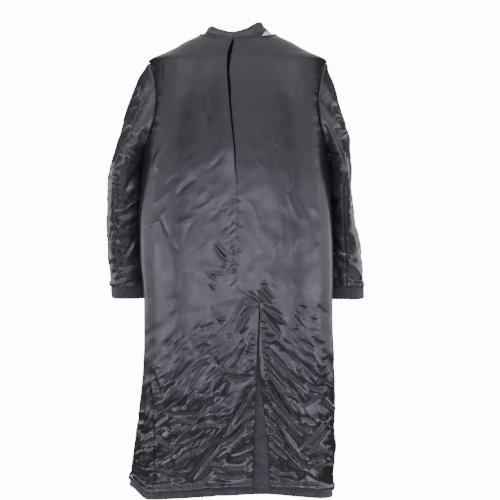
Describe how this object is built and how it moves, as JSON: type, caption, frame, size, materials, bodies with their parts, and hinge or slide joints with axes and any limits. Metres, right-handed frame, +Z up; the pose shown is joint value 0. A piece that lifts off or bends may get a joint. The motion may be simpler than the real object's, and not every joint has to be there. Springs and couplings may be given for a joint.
{
  "type": "overcoat",
  "caption": "Long overcoat turned inside out, with a satin lining outside, wool at the collar, cuffs, hem and vent, filled out as worn.",
  "frame": {"origin": "midway between the two points where the neck seam meets the shoulder seams", "axes": "+Z up, the back faces -Y and the fronts face +Y, +X is the wearer's right"},
  "size_m": [0.6746, 0.2975, 1.1831],
  "materials": {
    "wool": "dark heather grey wool coating, matt with a short nap",
    "satin": "dark slate grey satin with a soft sheen",
    "tape": "off-white woven tape, matt"
  },
  "bodies": {
    "root": {"collar": "wool", "cuff_turnup_left": "wool", "cuff_turnup_right": "wool", "facing_left": "wool", "facing_right": "wool", "hem_turnup_back_left": "wool", "hem_turnup_back_right": "wool", "hem_turnup_front_left": "wool", "hem_turnup_front_right": "wool", "lining_back_left": "satin", "lining_back_right": "satin", "lining_front_left": "satin", "lining_front_right": "satin", "lining_topsleeve_left": "satin", "lining_topsleeve_right": "satin", "lining_undersleeve_left": "satin", "lining_undersleeve_right": "satin", "neck_label": "tape", "shell_back_left": "wool", "shell_back_right": "wool", "shell_front_left": "wool", "shell_front_right": "wool", "shell_topsleeve_left": "wool", "shell_topsleeve_right": "wool", "shell_undersleeve_left": "wool", "shell_undersleeve_right": "wool", "vent_facing": "wool"}
  },
  "joints": []
}
